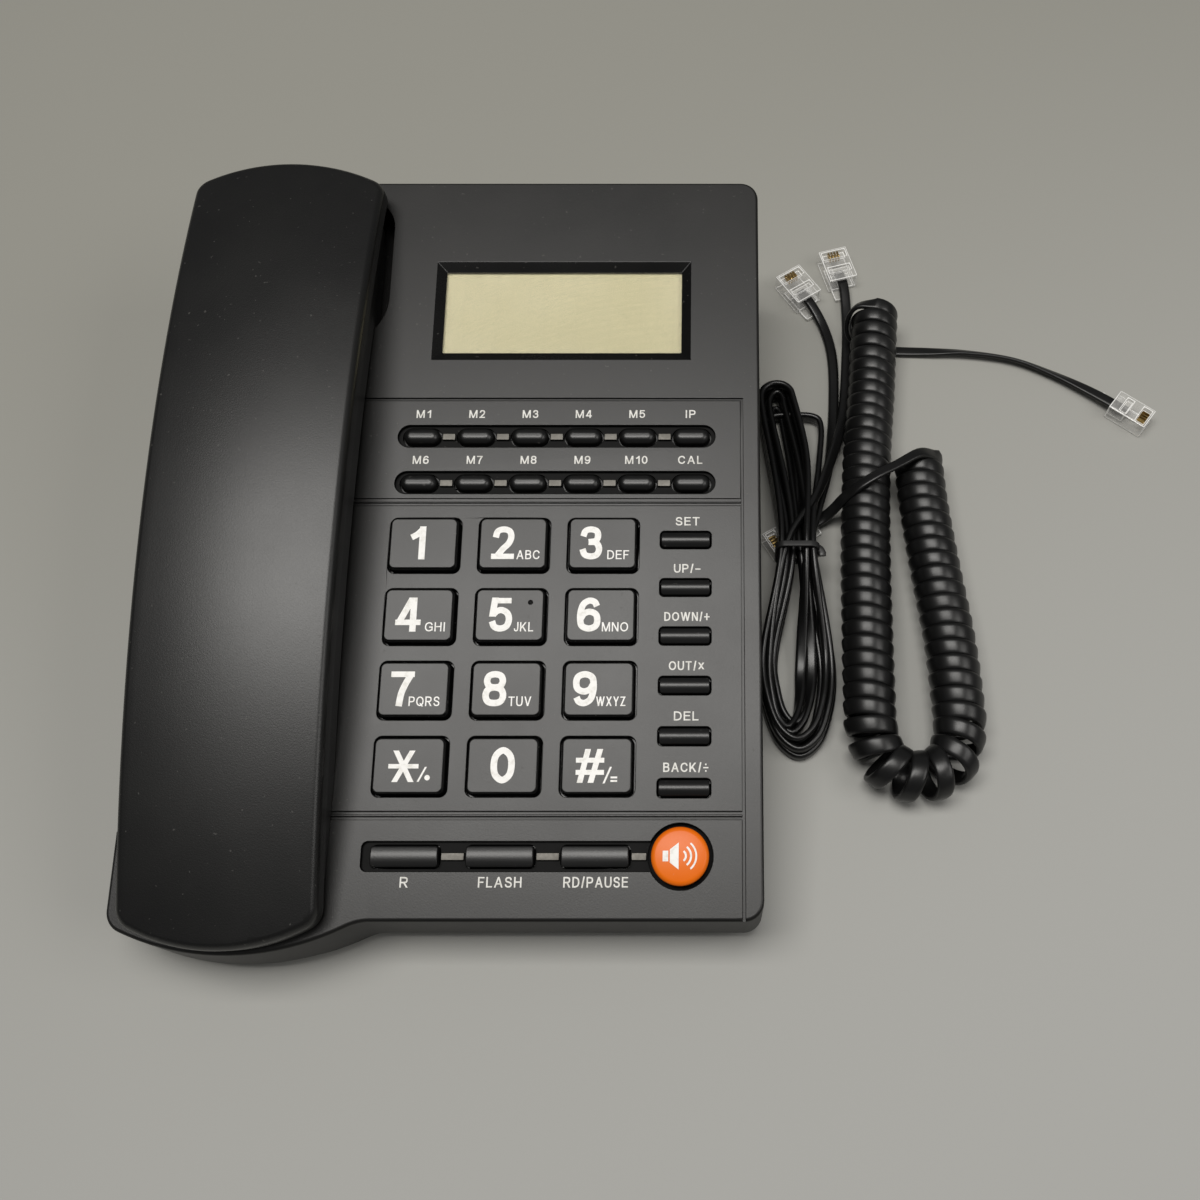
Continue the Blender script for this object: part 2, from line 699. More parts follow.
line_route = even_route(smooth_route(hank_knots(), 14), 1.1)
line = flat_cord("line_cord_ribbon", line_route, lean(line_route), flat_section(LINE_W, LINE_T))
settle(line, "line_cord_ribbon", "base", LINE_VINYL, ("line_cord_hank", "line_cord_tails"))


def route_length(route):
    return sum(math.dist(a[:3], b[:3]) for a, b in zip(route, route[1:])) * MM


# Base: rounded rims, glossy display bevel, dark slots with silver bars
FRAME_AT, FRAME_HALF, FRAME_D = (26.2, 168.0), (36.5, 15.45), 1.3
MEMORY_U, MEMORY_STEP, MEMORY_V = 25.8, 14.9, (129.5, 115.9)
NUMBER_U, NUMBER_V = (-8.5, 15.5, 39.5), (97.8, 78.0, 58.2, 38.4)
SIDE_U, SIDE_V, SIDE_STEP = 61.7, 32.9, 13.3
LOWER_V = 15.8
MEMORY_SLOT_HALF, LOWER_SLOT_HALF = (43.8, 3.25), (36.5, 3.7)
LOWER_SLOT_U = 16.5
SLOT_D, BAR_D = 2.45, 0.35
BUTTON_U, BUTTON_R, BUTTON_DOME = 60.9, 7.3, 0.7
KEY_RISE, SMALL_RISE, BUTTON_RISE = 2.2, 1.1, 2.8
WALL_FOOT_Z = 0.0095
# Material indices on the top shell
PANEL_AREA, FRAME_AREA, SLOT_AREA, BAR_AREA, WALL_AREA = range(5)


def sharp(edge, degrees=25):
    return len(edge.link_faces) == 2 and edge.calc_face_angle(0) > math.radians(degrees)


def level(edge, height, slack=0.03):
    return all(abs(on_panel_w(v.co) - height) < slack for v in edge.verts)


def in_box(point, centre, half, spare=0.1):
    u, v = panel_uv(point)
    return abs(u - centre[0]) < half[0] + spare and abs(v - centre[1]) < half[1] + spare


def in_slot(point):
    memory = any(in_box(point, (MEMORY_U, v), MEMORY_SLOT_HALF) for v in MEMORY_V)
    return memory or in_box(point, (LOWER_SLOT_U, LOWER_V), LOWER_SLOT_HALF)


def outer_rim(edge):
    foot = min(v.co.z for f in edge.link_faces for v in f.verts)
    return level(edge, 0) and sharp(edge) and foot < WALL_FOOT_Z


def display_mitre(edge):
    heights = sorted(on_panel_w(v.co) for v in edge.verts)
    deep = abs(heights[0] + FRAME_D) < 0.05 and abs(heights[1]) < 0.05
    return deep and sharp(edge) and in_box(edge.verts[0].co, FRAME_AT, FRAME_HALF)


def display_rim(edge):
    middle = (edge.verts[0].co + edge.verts[1].co) / 2
    return level(edge, 0) and sharp(edge, 12) and in_box(middle, FRAME_AT, FRAME_HALF, 0.3)


def base_paint(face):
    """Material index of a face of the top shell."""
    middle = face.calc_center_median()
    height = on_panel_w(middle)
    u, v = panel_uv(middle)
    facing = face.normal.dot(OUT)
    if height < -SLOT_D:
        return WALL_AREA
    if height > -0.02:
        return PANEL_AREA
    if in_box(middle, FRAME_AT, FRAME_HALF):
        return FRAME_AREA
    if in_slot(middle):
        return BAR_AREA if facing > 0.9 and abs(height + BAR_D) < 0.05 else SLOT_AREA
    key_hole = u > -25 and v > 8 and abs(facing) < 0.3 and middle.z > 0.02
    return SLOT_AREA if key_hole else PANEL_AREA


def base_shell():
    piece = node_copy("base_top", "base_top_shell")
    coat(piece, BASE_BLACK, FRAME_BLACK, SLOT_BLACK, BAR_SILVER, WALL_BLACK)
    with Bench(piece) as bench:
        for index in range(5):
            bench.paint(index, lambda face: base_paint(face) == index)
        bench.pick("edges", display_mitre)
        bench.round_off(0.2, 2)
        bench.pick("edges", display_rim)
        bench.round_off(0.15, 2)
        bench.pick("edges", outer_rim)
        bench.round_off(0.9, 3)
        bench.pick("edges", lambda e: level(e, 0) and sharp(e, 35))
        bench.round_off(0.22, 2)
        bench.pick("edges", lambda e: any(face.material_index == BAR_AREA for face in e.link_faces))
        bench.round_off(0.18, 2)
    smooth(piece, 40)
    return settle(piece, "base_top_shell", "base", None, ("base_top",))


base_shell()


# Keys: crisp matt tops on the number keys, bowed tops on the small ones
def bowed(piece, rise, depth):
    """Bows the top of a key down towards its long sides."""
    place = [panel_uv(v.co)[1] for v in piece.data.vertices if on_panel_w(v.co) > rise - 0.1]
    middle, half = (max(place) + min(place)) / 2, (max(place) - min(place)) / 2
    with Bench(piece) as bench:
        bench.cut([PANEL @ spot(0, middle + k * half / 5, 0) for k in range(-4, 5)], ALONG)
    for vert in piece.data.vertices:
        if on_panel_w(vert.co) > rise - 0.5:
            share = (panel_uv(vert.co)[1] - middle) / half
            vert.co -= OUT * (depth * share * share * MM)


def domed(piece):
    """Lowers the button's top towards its rim, and leaves what is under the panel where it is."""
    for vert in piece.data.vertices:
        away = math.dist(panel_uv(vert.co), (BUTTON_U, LOWER_V)) / BUTTON_R
        share = max(on_panel_w(vert.co), 0) / BUTTON_RISE
        vert.co -= OUT * (BUTTON_DOME * share * min(away, 1.0) ** 2 * MM)


def drafted(piece, rise, inset):
    """Leans the sides of a key in, from just under the panel to its top."""
    foot = -0.4
    with Bench(piece) as bench:
        bench.cut([PANEL @ spot(0, 0, foot)], OUT)
    place = [panel_uv(v.co) for v in piece.data.vertices if on_panel_w(v.co) > rise - 0.01]
    spans = [(max(p) + min(p), max(p) - min(p)) for p in zip(*place)]
    for vert in piece.data.vertices:
        share = inset * max(on_panel_w(vert.co) - foot, 0) / (rise - foot)
        for axis, at, (twice, full) in zip((Vector((1, 0, 0)), ALONG), panel_uv(vert.co), spans):
            vert.co -= axis * ((at - twice / 2) / full * 2 * share * MM)


def on_top(face, rise, depth, facing):
    return face.normal.dot(OUT) > facing and on_panel_w(face.calc_center_median()) > rise - depth


def key_piece(node, rise, width, segments, top, sides, bow=0.0, dome=False, draft=0.0):
    piece = node_copy(node, node + "_cap")
    coat(piece, sides, top)
    if draft:
        drafted(piece, rise, draft)
    with Bench(piece) as bench:
        bench.pick("edges", lambda e: level(e, rise) and sharp(e))
        bench.round_off(width, segments)
        if dome:
            bench.pick("faces", lambda f: f.normal.dot(OUT) > 0.99 and level(f, rise))
            for ring in range(4):
                bpy.ops.mesh.inset(thickness=1.3 * MM)
        bench.paint(1, lambda f: on_top(f, rise, width if dome else 0.1, 0.05 if dome else 0.97))
    if bow:
        bowed(piece, rise, bow)
    if dome:
        domed(piece)
    if node == "key_5":
        pip = fresh(bpy.ops.mesh.primitive_uv_sphere_add, segments=16, ring_count=8, radius=0.7 * MM)
        coat(pip, SLOT_BLACK)
        pip.data.transform(PANEL @ Matrix.Translation(spot(NUMBER_U[1] + 5.4, NUMBER_V[1] + 3.4, rise))
                           @ Matrix.Diagonal((1, 1, 0.4, 1)))
        joined([piece, pip])
    smooth(piece, 40)
    return settle(piece, node + "_cap", BODY_OF[node], None, (node,))


NUMBER_KEYS = [f"key_{n}" for n in ("1", "2", "3", "4", "5", "6", "7", "8", "9", "star", "0", "hash")]
for node in NUMBER_KEYS:
    key_piece(node, KEY_RISE, 0.3, 3, KEY_BLACK, GLOSS_BLACK, draft=0.5)
for kind, count, width, segments, bow in (
        ("memory", 12, 2.1, 7, 0), ("side", 6, 0.25, 2, 0.9), ("lower", 3, 0.35, 3, 0.5)):
    for n in range(1, count + 1):
        key_piece(f"{kind}_key_{n}", SMALL_RISE, width, segments, SMALL_KEY_BLACK, SMALL_KEY_BLACK,
                  bow=bow)
key_piece("speaker_button", BUTTON_RISE, 1.2, 5, ORANGE, SLOT_BLACK, dome=True)


# Printed legends: letters, figures and signs as strokes in a box 100 high, after its width
ROUND = (50, 100, 14, 86, 0, 50, 14, 14, 50, 0, 86, 14, 100, 50, 86, 86, 50, 100)
SIX = (96, 80, 82, 95, 52, 100, 18, 88, 2, 60, 0, 36, 10, 10, 50, 0, 90, 9, 100, 30, 90, 51, 54, 60, 20, 52,
       4, 36)
GLYPHS = {
    "A": (90, (0, 0, 50, 100), (100, 0, 50, 100), (20, 32, 80, 32)),
    "B": (74, (0, 0, 0, 100), (0, 100, 50, 100, 86, 94, 92, 76, 80, 58, 50, 54, 0, 54), (0, 54, 55, 54, 90,
          46, 100, 27, 88, 6, 55, 0, 0, 0)),
    "C": (84, (100, 70, 86, 91, 52, 100, 14, 86, 0, 50, 14, 14, 52, 0, 86, 9, 100, 30)),
    "D": (80, (0, 0, 0, 100), (0, 100, 42, 100, 84, 87, 100, 50, 84, 13, 42, 0, 0, 0)),
    "E": (70, (0, 0, 0, 100), (0, 100, 100, 100), (0, 53, 92, 53), (0, 0, 100, 0)),
    "F": (66, (0, 0, 0, 100), (0, 100, 100, 100), (0, 50, 86, 50)),
    "G": (88, (98, 72, 84, 92, 52, 100, 14, 86, 0, 50, 14, 14, 52, 0, 84, 8, 100, 20), (100, 10, 100, 54),
          (54, 46, 100, 46)),
    "H": (78, (0, 0, 0, 100), (100, 0, 100, 100), (0, 52, 100, 52)),
    "I": (20, (50, 0, 50, 100)),
    "J": (56, (100, 110, 100, 30, 86, 6, 50, 0, 14, 6, 0, 30)),
    "K": (82, (0, 0, 0, 100), (0, 30, 96, 100), (30, 60, 100, 0)),
    "L": (62, (0, 0, 0, 100), (0, 0, 100, 0)),
    "M": (96, (0, 0, 0, 100), (100, 0, 100, 100), (2, 100, 50, 0), (98, 100, 50, 0)),
    "N": (78, (0, 0, 0, 100), (100, 0, 100, 100), (0, 100, 100, 0)),
    "O": (92, ROUND),
    "P": (74, (0, 0, 0, 100), (0, 100, 52, 100, 90, 93, 100, 73, 90, 52, 52, 45, 0, 45)),
    "Q": (92, ROUND, (56, 30, 96, -4)),
    "R": (82, (0, 0, 0, 100), (0, 100, 52, 100, 86, 93, 94, 74, 86, 54, 52, 47, 0, 47), (50, 48, 100, 0)),
    "S": (76, (95, 72, 84, 93, 50, 100, 15, 92, 5, 74, 18, 59, 50, 52, 84, 43, 98, 25, 86, 6, 50, 0, 14, 7,
          0, 28)),
    "T": (76, (50, 0, 50, 100), (0, 100, 100, 100)),
    "U": (78, (0, 110, 0, 34, 14, 7, 50, 0, 86, 7, 100, 34, 100, 110)),
    "V": (84, (0, 100, 50, 0), (100, 100, 50, 0)),
    "W": (124, (0, 100, 26, 0), (50, 100, 26, 0), (50, 100, 74, 0), (100, 100, 74, 0)),
    "X": (82, (0, 100, 100, 0), (100, 100, 0, 0)),
    "Y": (84, (0, 100, 50, 42), (100, 100, 50, 42), (50, 0, 50, 46)),
    "Z": (74, (0, 100, 100, 100), (0, 0, 100, 0), (100, 100, 0, 0)),
    "0": (67, (50, 100, 12, 84, 0, 50, 12, 16, 50, 0, 88, 16, 100, 50, 88, 84, 50, 100)),
    "1": (50, (100, 0, 100, 100), (0, 70, 50, 81, 98, 100)),
    "2": (66, (4, 70, 16, 93, 52, 100, 87, 93, 98, 73, 86, 50, 50, 27, 18, 2), (0, 0, 100, 0)),
    "3": (66, (3, 74, 16, 94, 50, 100, 84, 93, 92, 76, 80, 58, 36, 53), (36, 53, 82, 50, 100, 28, 86, 6, 48,
          0, 14, 7, 0, 27)),
    "4": (72, (76, 0, 76, 100), (70, 100, 0, 26), (0, 22, 100, 22)),
    "5": (66, (16, 100, 94, 100), (14, 100, 0, 44), (4, 48, 24, 61, 54, 66, 88, 55, 100, 33, 86, 8, 48, 0,
          14, 7, 0, 26)),
    "6": (67, SIX),
    "7": (66, (0, 100, 100, 100), (98, 100, 68, 66, 47, 34, 36, -11)),
    "8": (67, (50, 100, 16, 94, 5, 76, 18, 59, 50, 54, 82, 59, 95, 76, 84, 94, 50, 100), (50, 54, 13, 47, 0,
          27, 13, 6, 50, 0, 87, 6, 100, 27, 87, 47, 50, 54)),
    "9": (67, tuple(100 - n for n in SIX)),
    "*": (96, (0, 50, 100, 50), (16, 0, 84, 100), (84, 0, 16, 100)),
    "#": (84, (6, 0, 40, 100), (54, 0, 94, 100), (0, 70, 100, 70), (0, 27, 100, 27)),
    "/": (40, (0, -4, 100, 104)),
    "-": (62, (0, 40, 100, 40)),
    "+": (70, (0, 46, 100, 46), (50, 8, 50, 86)),
    "x": (78, (0, 10, 100, 84), (0, 84, 100, 10)),
    ":": (62, (0, 46, 100, 46), (50, 72, 50, 90), (50, 2, 50, 20)),
    "=": (95, (0, 80, 100, 80), (0, 15, 100, 15))}


BAR = [(0, 1, 2, 3)]
INK_FILM, INK_LIFT, INK_STEP = 0.02, 0.012, 0.006


def stroke_shape(stroke, width, weight):
    """Corners and faces of one stroke: a bar with level ends, or a ribbon that rises along a curve."""
    pairs = [(x / 100, y / 100) for x, y in zip(stroke[::2], stroke[1::2])]
    half = weight / 2
    if len(pairs) == 2:
        (x0, y0), (x1, y1) = sorted(pairs, key=lambda p: (p[1], p[0]))
        if y0 == y1:
            y = half + y0 * (1 - weight)
            low, high = y - half * 0.88, y + half * 0.88
            x0, x1 = x0 * width, x1 * width
            return [(x0, low, 0), (x1, low, 0), (x1, high, 0), (x0, high, 0)], BAR
        reach = half * math.hypot((x1 - x0) * (width - weight), y1 - y0) / (y1 - y0)
        a, b = (reach + x * (width - 2 * reach) for x in (x0, x1))
        return [(a - reach, y0, 0), (a + reach, y0, 0), (b + reach, y1, 0), (b - reach, y1, 0)], BAR
    knots = [(half + x * (width - weight), half + y * (1 - weight)) for x, y in pairs]
    closed = knots[0] == knots[-1]
    line = smooth_route([knots[-2], *knots, knots[1]] if closed else knots, 6)
    line = line[6:-6] if closed else line
    last = len(line) - 1
    corners = []
    for i, (x, y) in enumerate(line):
        ahead = line[1] if closed and i == last else line[min(i + 1, last)]
        behind = line[-2] if closed and i == 0 else line[max(i - 1, 0)]
        run, climb = ahead[0] - behind[0], ahead[1] - behind[1]
        size = half / math.hypot(run, climb)
        corners.append((x + climb * size, y - run * size, i / last))
        corners.append((x - climb * size, y + run * size, i / last))
    return corners, [(2 * i, 2 * i + 2, 2 * i + 3, 2 * i + 1) for i in range(last)]


def lettering(words, u, v, w, height, weight, wide=None, align=0.5, gap=0.2):
    """Words at a height of w on the panel: place of the baseline, cap height and full width."""
    plain = sum(GLYPHS[c][0] / 100 for c in words) + gap * (len(words) - 1)
    stretch = wide / (plain * height) if wide else 1.0
    at = u - plain * stretch * height * align
    points = []
    faces = []
    for c in words:
        width = GLYPHS[c][0] / 100 * stretch
        for layer, stroke in enumerate(GLYPHS[c][1:]):
            corners, sides = stroke_shape(stroke, width, weight)
            faces += [tuple(len(points) + k for k in side) for side in sides]
            points += [PANEL @ spot(at + x * height, v + y * height, w + INK_LIFT + INK_STEP * (layer + lift))
                       for x, y, lift in corners]
        at += (width + gap * stretch) * height
    piece = new_piece("lettering", points, faces)
    modified(piece, "SOLIDIFY", thickness=INK_FILM * MM, offset=1)
    return piece


def print_on(node, pieces, ink, name):
    piece = joined(pieces)
    return settle(piece, name, BODY_OF[node], ink)


# Figure with its middle, letters with their start and width
NUMBER_WORDS = [
    ("1", -1.7, "", 0, 0), ("2", -2.6, "ABC", 1.1, 6.2), ("3", -3.1, "DEF", 1.35, 5.8),
    ("4", -2.6, "GHI", 1.95, 5.3), ("5", -2.3, "JKL", 1.3, 5.1), ("6", -3.1, "MNO", 0.4, 6.9),
    ("7", -2.9, "PQRS", -1.0, 8.0), ("8", -2.95, "TUV", 0.75, 5.9), ("9", -3.6, "WXYZ", -0.6, 7.6),
    ("*", -1.2, "", 0, 0), ("0", 0.05, "", 0, 0), ("#", -1.7, "", 0, 0)]
for i, (figure, shift, letters, start, wide) in enumerate(NUMBER_WORDS):
    u, v = NUMBER_U[i % 3], NUMBER_V[i // 3]
    if figure == "*":
        words = [lettering(figure, u + shift, v - 4.2, KEY_RISE, 8.0, 0.16),
                 lettering("/", u + 2.4, v - 4.0, KEY_RISE, 3.5, 0.13, 2.4, 0)]
    elif figure == "#":
        words = [lettering(figure, u + shift, v - 4.4, KEY_RISE, 8.6, 0.165),
                 lettering("/", u + 1.6, v - 4.4, KEY_RISE, 3.9, 0.12, 2.3, 0),
                 lettering("=", u + 3.6, v - 4.4, KEY_RISE, 1.9, 0.28, 1.7, 0)]
    else:
        words = [lettering(figure, u + shift, v - 4.55, KEY_RISE, 9.25, 0.182)]
    if letters:
        words.append(lettering(letters, u + start, v - 4.5, KEY_RISE, 2.5, 0.132, wide, 0))
    print_on(NUMBER_KEYS[i], words, WHITE_INK, f"{NUMBER_KEYS[i]}_legend")

panel_words = []
for row, words in enumerate((("M1", "M2", "M3", "M4", "M5", "IP"), ("M6", "M7", "M8", "M9", "M10", "CAL"))):
    for k, word in enumerate(words):
        u = MEMORY_U + (k - 2.5) * MEMORY_STEP
        panel_words.append(lettering(word, u + 0.2 - 0.1 * k, MEMORY_V[row] + 5.4, 0, 2.35, 0.155, gap=0.24))
for k, (word, wide) in enumerate((
        ("SET", 6.5), ("UP/-", 7.1), ("DOWN/+", 12.0), ("OUT/x", 9.3), ("DEL", 6.4), ("BACK/:", 11.6))):
    v = SIDE_V + (5 - k) * SIDE_STEP
    panel_words.append(lettering(word, SIDE_U + 0.45, v + 4.1, 0, 2.4, 0.155, wide))
for u, word, wide in zip(NUMBER_U, ("R", "FLASH", "RD/PAUSE"), (2.1, 10.9, 16.2)):
    panel_words.append(lettering(word, u + 0.3, LOWER_V - 7.6, 0, 2.6, 0.145, wide))
print_on("base_top", panel_words, LABEL_INK, "panel_legends")


def flat_shape(name, outlines, u, v, w):
    """Flat printed shapes from closed outlines in millimetres."""
    curve = bpy.data.curves.new(name, "CURVE")
    curve.dimensions = "2D"
    curve.fill_mode = "BOTH"
    curve.extrude = 0.00001
    for outline in outlines:
        fine = []
        for (x0, y0), (x1, y1) in zip(outline, outline[1:] + outline[:1]):
            count = max(1, round(math.hypot(x1 - x0, y1 - y0) / 0.4))
            fine += [(x0 + (x1 - x0) * k / count, y0 + (y1 - y0) * k / count) for k in range(count)]
        spline = curve.splines.new("POLY")
        spline.points.add(len(fine) - 1)
        for point, (x, y) in zip(spline.points, fine):
            point.co = (x * MM, y * MM, 0, 1)
        spline.use_cyclic_u = True
    piece = bpy.data.objects.new(name, curve)
    bpy.context.scene.collection.objects.link(piece)
    take(piece)
    bpy.ops.object.convert(target="MESH")
    piece = bpy.context.object
    piece.data.transform(PANEL @ Matrix.Translation(spot(u, v, w + 0.015)))
    return piece


def wave(r, half_angle, thick):
    """Outline of one sound wave of the speaker sign."""
    steps = 10
    angles = [math.radians(-half_angle + 2 * half_angle * k / steps) for k in range(steps + 1)]
    outer = [((r + thick / 2) * math.cos(a), (r + thick / 2) * math.sin(a)) for a in angles]
    inner = [((r - thick / 2) * math.cos(a), (r - thick / 2) * math.sin(a)) for a in reversed(angles)]
    return outer + inner


sign = [
    [(-4.3, -1.3), (-2.9, -1.3), (-2.9, 1.3), (-4.3, 1.3)],
    [(-2.5, -1.6), (-0.3, -3.3), (-0.3, 3.3), (-2.5, 1.6)],
    wave(1.5, 52, 0.5), wave(2.8, 52, 0.5), wave(4.1, 50, 0.45)]
speaker = flat_shape("speaker_sign", sign, BUTTON_U, LOWER_V, BUTTON_RISE + 0.04)
domed(speaker)
print_on("speaker_button", [speaker], WHITE_INK, "speaker_sign")
dot = flat_shape("star_dot", [[(0.7 * math.cos(k * 0.3142), 0.7 * math.sin(k * 0.3142)) for k in range(20)]],
                 NUMBER_U[0] + 5.0, NUMBER_V[3] - 3.1, KEY_RISE)
print_on("key_star", [dot], WHITE_INK, "key_star_dot")

# Handset back: a bowed slab, its rim rounded, then arched and crowned
HS_U, HS_V = -51.5, 101.5
HS_W, HS_L, HS_RISE, HS_SIDE, HS_TAPER = 51.4, 217.0, 19.2, 5.6, 0.045
ARCH_R, ARCH_SHIFT, HS_CROWN, HS_END_R, HS_CORNER = 480.0, 3.5, 2.0, 52.0, 5.5


def bowed_outline():
    """Half the outline of the handset, from the right side over the top end to the left side."""
    end_c = HS_L / 2 - HS_END_R
    corner_x = HS_W / 2 - HS_CORNER
    corner_y = end_c + math.sqrt((HS_END_R - HS_CORNER) ** 2 - corner_x ** 2)
    turn = math.atan2(corner_y - end_c, corner_x)
    half = []
    for k in range(9):
        a = turn * k / 8
        half.append((corner_x + HS_CORNER * math.cos(a), corner_y + HS_CORNER * math.sin(a)))
    for k in range(1, 24):
        a = turn + (math.pi - 2 * turn) * k / 24
        half.append((HS_END_R * math.cos(a), end_c + HS_END_R * math.sin(a)))
    for k in range(9):
        a = math.pi - turn + turn * k / 8
        half.append((-corner_x + HS_CORNER * math.cos(a), corner_y + HS_CORNER * math.sin(a)))
    return half


def arched(x, s, h):
    """A point of the flat slab at its place on the panel."""
    crown_r = ((HS_W / 2) ** 2 + HS_CROWN ** 2) / (2 * HS_CROWN)
    crown = math.sqrt(crown_r ** 2 - x * x) - crown_r + HS_CROWN
    arch = math.sqrt((ARCH_R + h) ** 2 - (s - ARCH_SHIFT) ** 2) - ARCH_R
    return spot(HS_U + x, HS_V + s, HS_RISE + arch + crown * (h + HS_SIDE) / HS_SIDE)


def handset_back():
    half = bowed_outline()
    outline = [(x * (1 + 2 * HS_TAPER * y / HS_L), y) for x, y in half + [(-x, -y) for x, y in half]]
    piece = fresh(bpy.ops.mesh.primitive_circle_add, vertices=len(outline), fill_type="NGON")
    for vert, (x, y) in zip(piece.data.vertices, outline):
        vert.co = spot(x, y, -HS_SIDE)
    with Bench(piece) as bench:
        bench.everything()
        bpy.ops.mesh.extrude_region_move(TRANSFORM_OT_translate={"value": (0, 0, HS_SIDE * MM)})
        bench.everything()
        bpy.ops.mesh.normals_make_consistent(inside=False)
        bench.pick("edges", lambda e: all(v.co.z > -1e-6 for v in e.verts) and sharp(e))
        bench.round_off(1.9, 5)
        bench.pick("edges", lambda e: all(v.co.z < -(HS_SIDE - 0.001) * MM for v in e.verts) and sharp(e))
        bench.round_off(0.35, 2)
        bench.cut([(0, k * 5 * MM, 0) for k in range(-21, 22)], (0, 1, 0))
        bench.cut([(k * 4.3 * MM, 0, 0) for k in range(-5, 6)], (1, 0, 0))
    for vert in piece.data.vertices:
        x, s, h = vert.co / MM
        vert.co = arched(x, s, h)
    piece.data.transform(PANEL)
    smooth(piece, 40)
    return settle(piece, "handset_back_shell", "handset", HANDSET_BLACK, ("handset_back",))


handset_back()
CUP_FACE = -9.7
front_shell = node_copy("handset_front", "handset_front_shell")
with Bench(front_shell) as bench:
    bench.pick("edges", lambda e: level(e, CUP_FACE, 0.1) and sharp(e, 60))
    bench.round_off(1.2, 3)
smooth(front_shell, 35)
settle(front_shell, "handset_front_shell", "handset", HANDSET_BLACK, ("handset_front",))


# Plugs, contacts and the wire tie
def block(x0, x1, y0, y1, z0, z1):
    """A block between two corners in millimetres, to be shaped further."""
    piece = fresh(bpy.ops.mesh.primitive_cube_add, size=1)
    piece.data.transform(Matrix.Translation(spot((x0 + x1) / 2, (y0 + y1) / 2, (z0 + z1) / 2))
                         @ Matrix.Diagonal(((x1 - x0) * MM, (y1 - y0) * MM, (z1 - z0) * MM, 1)))
    return piece


def sink(bench, test, inset, depth):
    """Insets the picked faces and pushes them in along their normals."""
    bench.pick("faces", test)
    bpy.ops.mesh.inset(thickness=inset * MM)
    bpy.ops.mesh.extrude_region_shrink_fatten(TRANSFORM_OT_shrink_fatten={"value": -depth * MM})


def bright_edges(bench, width):
    """Rounds the edges of a clear piece and gives them its second finish."""
    bench.pick("edges", lambda e: sharp(e, 30))
    bpy.ops.mesh.bevel(offset=width * MM, segments=2, profile=0.5, clamp_overlap=True, material=1)


PLUG_L, PLUG_H = 12.8, 6.0


def plug_body(width):
    """Clear body with its cord mouth, clamp pocket and contact pocket, edges bright."""
    piece = block(-width / 2, width / 2, 0, PLUG_L, 0, PLUG_H)
    coat(piece, PLUG_CLEAR, PLUG_EDGE)
    clamp_from, clamp_to, contacts_from = 2.2 * MM, 6.6 * MM, 8.2 * MM
    with Bench(piece) as bench:
        bench.cut([(0, y, 0) for y in (clamp_from, clamp_to, contacts_from)], (0, 1, 0))
        sink(bench, lambda f: f.normal.y < -0.9, 1.0, 5.5)
        sink(bench, lambda f: f.normal.z > 0.9 and f.calc_center_median().y > contacts_from, 0.9, 1.7)
        sink(bench, lambda f: f.normal.z > 0.9 and clamp_from < f.calc_center_median().y < clamp_to
             and f.calc_center_median().z > (PLUG_H - 0.1) * MM, 1.1, 1.4)
        bright_edges(bench, 0.28)
    return piece


def plug_latch(width):
    """Springy tongue from the nose back past the cord mouth."""
    x = -width * 0.24
    tail = -4.6
    piece = block(x - 1.6, x + 1.6, tail, 9.0, 0.0, 0.9)
    coat(piece, PLUG_CLEAR, PLUG_EDGE)
    with Bench(piece) as bench:
        bench.cut([spot(0, y, 0) for y in (-3.4, 1.0, 5.0)], (0, 1, 0))
        bench.pick("verts", lambda v: v.co.y < (tail + 0.1) * MM)
        bpy.ops.transform.translate(value=(0, 0, 0.5 * MM))
        bright_edges(bench, 0.25)
    return piece


def plug_blades(count, step):
    """Gold contact blades in the nose, each with a rounded upper corner."""
    blades = []
    for k in range(count):
        x = (k - (count - 1) / 2) * step
        top = 5.7
        blade = block(x - 0.18, x + 0.18, 9.3, 12.1, 3.4, top)
        with Bench(blade) as bench:
            bench.pick("edges", lambda e: all(abs(v.co.z - top * MM) < 1e-6 for v in e.verts)
                       and abs(e.verts[0].co.y - e.verts[1].co.y) < 1e-6)
            bench.round_off(0.6, 3)
        blades.append(blade)
    return joined(blades)


LINE_PLUG_W, CORD_PLUG_W = 9.65, 7.65


def modular_plug(name, place, width, node):
    x, y, heading = place
    where = Matrix.Translation(spot(x, y, 0.15)) @ Matrix.Rotation(math.radians(heading - 90), 4, "Z")
    body = joined([plug_body(width), plug_latch(width)])
    blades = plug_blades(4, 1.02)
    for piece in (body, blades):
        piece.data.transform(where)
        smooth(piece, 30)
    settle(body, name, "base", None, (node,))
    settle(blades, name + "_contacts", "base", GOLD)
    return [body, blades]


plugs_line = modular_plug("line_plug_a", PLUG_A, LINE_PLUG_W, "line_plugs")
plugs_line += modular_plug("line_plug_b", PLUG_B, LINE_PLUG_W, "line_plugs")
plugs_curly = modular_plug("cord_plug_c", PLUG_C, CORD_PLUG_W, "cord_plugs")
plugs_curly += modular_plug("cord_plug_d", PLUG_D, CORD_PLUG_W, "cord_plugs")


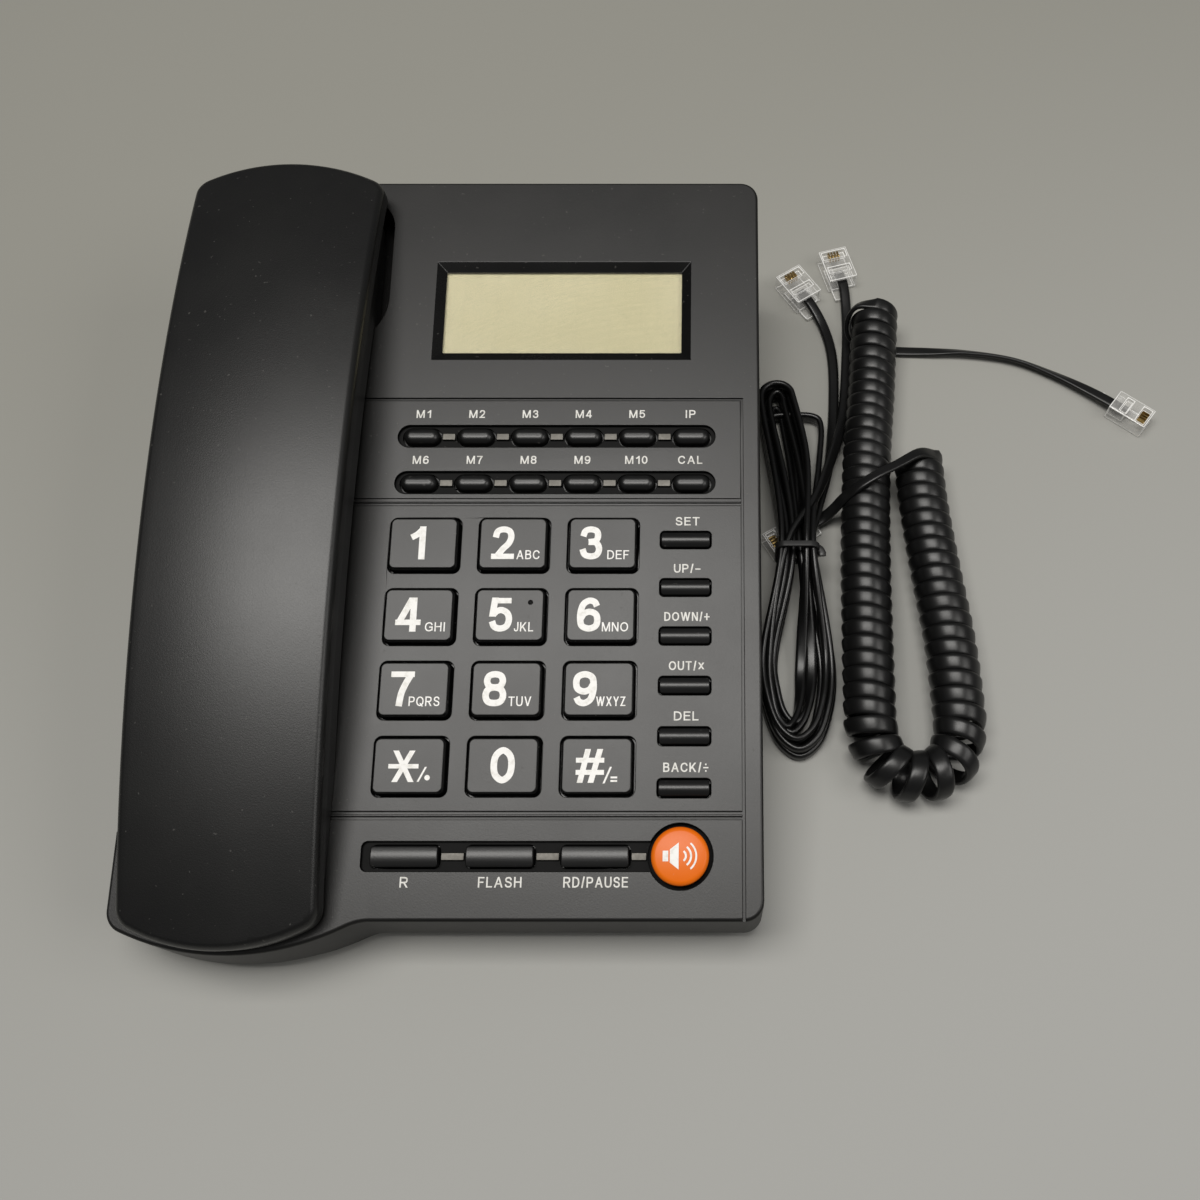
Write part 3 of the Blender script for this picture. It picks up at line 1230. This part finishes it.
def wire_tie():
    """Band round the waist of the hank, with its ends twisted together on the right."""
    half_w, low, high, r = 5.7, 6.1, 17.2, 2.0
    middle = (low + high) / 2
    ring = []
    for turn, (cx, cz) in enumerate(((half_w - r, high - r), (r - half_w, high - r), (r - half_w, low + r),
                                     (half_w - r, low + r))):
        for k in range(6):
            a = math.radians(90 * turn + 18 * k)
            ring.append((cx + r * math.cos(a), cz + r * math.sin(a)))
    piece = fresh(bpy.ops.mesh.primitive_circle_add, vertices=len(ring))
    for vert, (x, z) in zip(piece.data.vertices, ring):
        vert.co = spot(HANK_X + x, HANK_Y - 3.2, z)
    with Bench(piece) as bench:
        bench.everything()
        bpy.ops.mesh.extrude_region_move(TRANSFORM_OT_translate={"value": (0, 1.8 * MM, 0)})
        bench.everything()
        bpy.ops.mesh.normals_make_consistent(inside=False)
    modified(piece, "SOLIDIFY", thickness=0.8 * MM, offset=1)
    modified(piece, "BEVEL", width=0.25 * MM, segments=2)
    knob = [Vector((HANK_X + half_w + x, HANK_Y + y, middle + z)) for x, y, z in (
        (-0.2, -2.0, 2.4), (0.9, -2.5, 2.3), (1.5, -3.4, 2.0), (1.6, -4.3, 1.8))]
    stub = [Vector(p) for p in smooth_route(knob, 5)]
    tail = flat_cord("tie_knob", stub, [UP] * len(stub), oval_section(2.3, 2.1))
    return settle(joined([piece, tail]), "wire_tie", "base", TIE_VINYL, ("cord_tie",))


tie = wire_tie()
smooth(tie, 40)

# Stage and light
table = fresh(bpy.ops.mesh.primitive_plane_add, size=6)
table.name = "table"
coat(table, TABLE)

route_length(curly_route)
[p * MM for p in curly_route]
route_length(line_route)
plugs_line + [tie]

for name, wide, deep, watts, place in (
        ("softbox_over", 0.95, 0.46, 13.7, (-0.13, 0.03, 1.25)),
        ("softbox_right", 0.8, 0.8, 7.0, (1.1, -0.25, 1.0))):
    lamp = bpy.data.lights.new(name, "AREA")
    lamp.shape = "RECTANGLE"
    lamp.size, lamp.size_y = wide, deep
    lamp.energy = watts
    lamp.color = (1, 0.98, 0.945)
    softbox = bpy.data.objects.new(name, lamp)
    softbox.location = place
    bpy.context.scene.collection.objects.link(softbox)
world = bpy.data.worlds.new("studio")
bpy.context.scene.world = world
world.use_nodes = True
world.node_tree.nodes["Background"].inputs["Color"].default_value = (1, 1, 1, 1)
world.node_tree.nodes["Background"].inputs["Strength"].default_value = 0.12
bpy.context.scene.view_settings.view_transform = "Standard"
